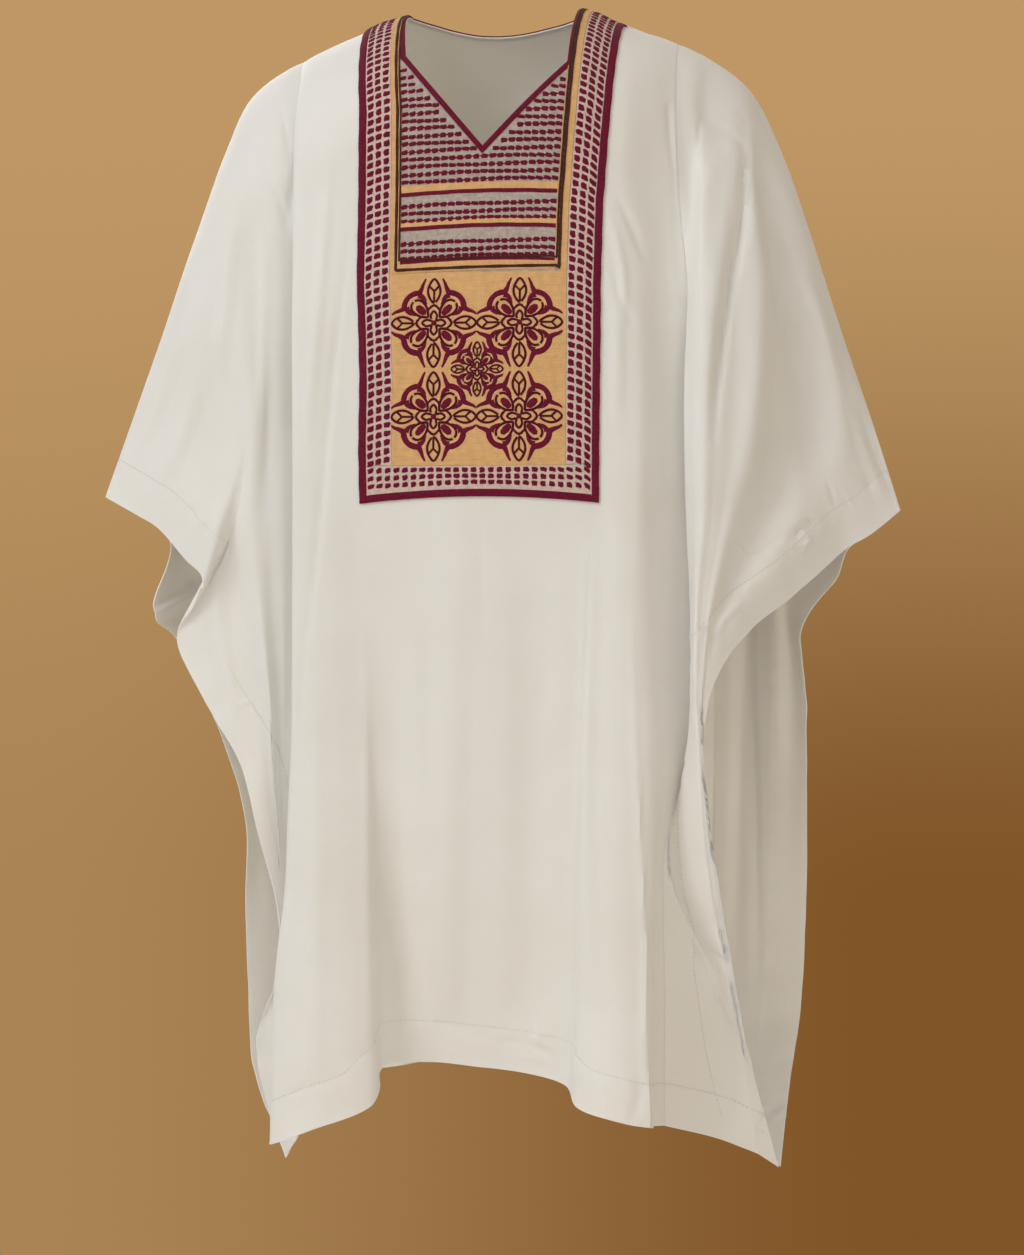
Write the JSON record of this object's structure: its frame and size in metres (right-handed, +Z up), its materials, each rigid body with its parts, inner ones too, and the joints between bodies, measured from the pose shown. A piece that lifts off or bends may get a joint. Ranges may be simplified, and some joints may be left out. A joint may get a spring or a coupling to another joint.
{
  "type": "agbada robe",
  "caption": "Wide long robe worn over the shoulders, with deep open sleeves folded to the sides, a pointed neck and an embroidered chest panel.",
  "frame": {"origin": "middle of the neck at the height of the shoulders, where the wearer holds the robe up", "axes": "+X to the viewer's right (the wearer's left), -Y to the front, +Z up"},
  "size_m": [0.829, 0.413, 1.1968],
  "materials": {
    "front_cloth": "smooth off-white cloth with a soft sheen",
    "back_cloth": "smooth off-white cloth with a soft sheen",
    "right_sleeve_cloth": "smooth off-white cloth with a soft sheen",
    "left_sleeve_cloth": "smooth off-white cloth with a soft sheen",
    "panel_ground": "tan stitched ground with rosettes and dotted bands",
    "right_border": "pale stitched strip with burgundy dots",
    "left_border": "pale stitched strip with burgundy dots",
    "bottom_border": "pale stitched strip with burgundy dots",
    "panel_binding": "burgundy satin-stitched edge",
    "neck_binding": "burgundy satin-stitched edge",
    "back_neck_binding": "burgundy satin-stitched edge",
    "frame_braid": "two dark brown lines on tan",
    "cross_band_top": "burgundy satin-stitched line",
    "cross_band_middle": "burgundy satin-stitched line",
    "cross_band_lower": "burgundy satin-stitched line"
  },
  "bodies": {
    "root": {"front_body": "front_cloth", "back_body": "back_cloth", "sleeve_right": "right_sleeve_cloth", "sleeve_left": "left_sleeve_cloth", "chest_panel": "panel_ground", "border_right": "right_border", "border_left": "left_border", "border_bottom": "bottom_border", "panel_binding": "panel_binding", "neck_binding": "neck_binding", "neck_binding_back": "back_neck_binding", "braid_frame": "frame_braid", "cross_band_top": "cross_band_top", "cross_band_middle": "cross_band_middle", "cross_band_lower": "cross_band_lower"}
  },
  "joints": []
}
